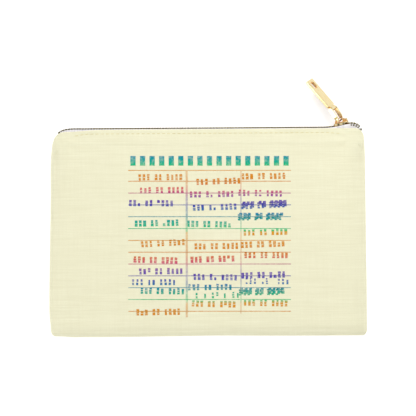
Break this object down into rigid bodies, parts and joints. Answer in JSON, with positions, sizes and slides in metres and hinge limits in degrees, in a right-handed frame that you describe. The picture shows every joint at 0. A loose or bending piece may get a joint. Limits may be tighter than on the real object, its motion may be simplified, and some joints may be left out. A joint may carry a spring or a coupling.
{
  "type": "pencil case",
  "caption": "Flat rectangular canvas zip pouch lying on its back, with a metal zip along the top edge and a long bar pull on a link.",
  "frame": {"origin": "on the surface the case lies on, under the middle of the canvas", "axes": "+X along the zip towards its closed end, +Y from the bottom seam to the zip, +Z out of the printed front panel"},
  "size_m": [0.2286, 0.1865, 0.0124],
  "materials": {
    "canvas": "woven cotton canvas",
    "lining": "thin plain cotton",
    "thread": "cotton thread",
    "zip_tape": "woven twill tape",
    "teeth": "antique brass",
    "pull_gold": "polished pale gold plating"
  },
  "bodies": {
    "pouch": {"front_panel": "canvas", "back_panel": "canvas", "front_lining": "lining", "back_lining": "lining", "topstitch_front": "thread", "topstitch_back": "thread", "side_seam_thread_left": "thread", "side_seam_thread_right": "thread", "bottom_seam_thread": "thread", "zip_tape_front": "zip_tape", "zip_tape_back": "zip_tape", "zip_teeth_front": "teeth", "zip_teeth_back": "teeth", "top_stop_front": "teeth", "top_stop_back": "teeth", "bottom_stop": "teeth"},
    "slider": {"slider_body": "pull_gold"},
    "link": {"pull_link": "pull_gold"},
    "tab": {"pull_tab": "pull_gold"}
  },
  "joints": [
    {"name": "slider_slide", "type": "slide", "parent": "pouch", "child": "slider", "axis": [1, 0, 0], "range_m": [-0.19, 0], "deforming": ["zip_teeth_front", "zip_teeth_back", "zip_tape_front", "zip_tape_back"]},
    {"name": "link_swing", "type": "hinge", "parent": "slider", "child": "link", "pos_m": [0.09646, 0.08087, 0.00625], "axis": [0, 0, 1], "range_deg": [-60, 15]},
    {"name": "tab_swing", "type": "hinge", "parent": "link", "child": "tab", "pos_m": [0.0908, 0.0896, 0.00625], "axis": [0.5163, 0.3353, -0.788], "range_deg": [0, 110]}
  ]
}
